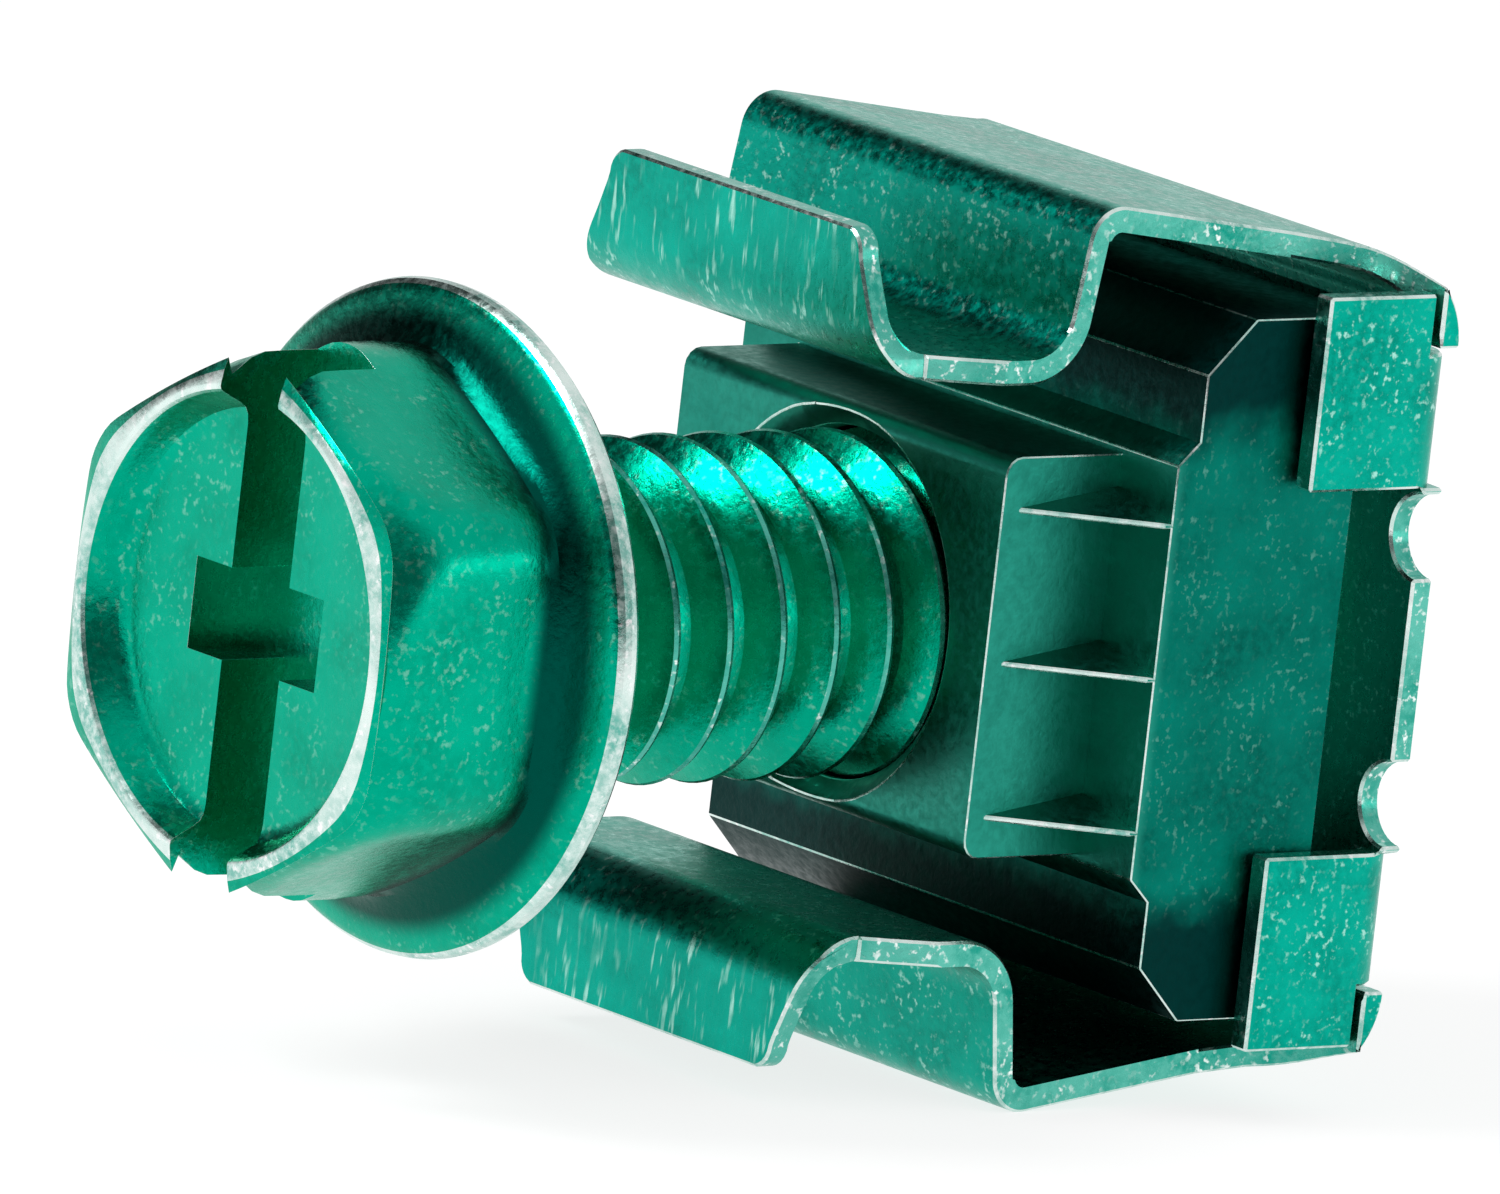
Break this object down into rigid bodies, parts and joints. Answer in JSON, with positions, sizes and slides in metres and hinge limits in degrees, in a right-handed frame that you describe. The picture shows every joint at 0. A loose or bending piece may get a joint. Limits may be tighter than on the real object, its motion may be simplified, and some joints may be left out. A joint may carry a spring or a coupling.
{
  "type": "rack cage nut",
  "caption": "Square nut held loosely in a folded spring cage that clips into a square hole of a rack rail, with its slotted cross-recess hex washer head screw.",
  "frame": {"origin": "on the screw axis, in the plane of the nut's front face, which seats on the back of the rail", "axes": "-Y along the screw toward its head, +Z toward one spring arm, +X across the arms"},
  "size_m": [0.012, 0.0191, 0.0144],
  "materials": {
    "cage_spring_steel": "spring steel strip, bright green dyed zinc plating with a fine mottle",
    "nut_steel": "steel, bright green dyed zinc plating with a fine mottle",
    "screw_steel": "cold-headed steel, bright green dyed zinc plating with a fine mottle"
  },
  "bodies": {
    "nut_and_cage": {"spring_cage": "cage_spring_steel", "square_nut": "nut_steel"},
    "screw": {"screw": "screw_steel"}
  },
  "joints": [
    {"name": "screw_turn", "type": "hinge", "parent": "nut_and_cage", "child": "screw", "pos_m": [0, 0, 0], "axis": [0, -1, 0], "continuous": true}
  ]
}
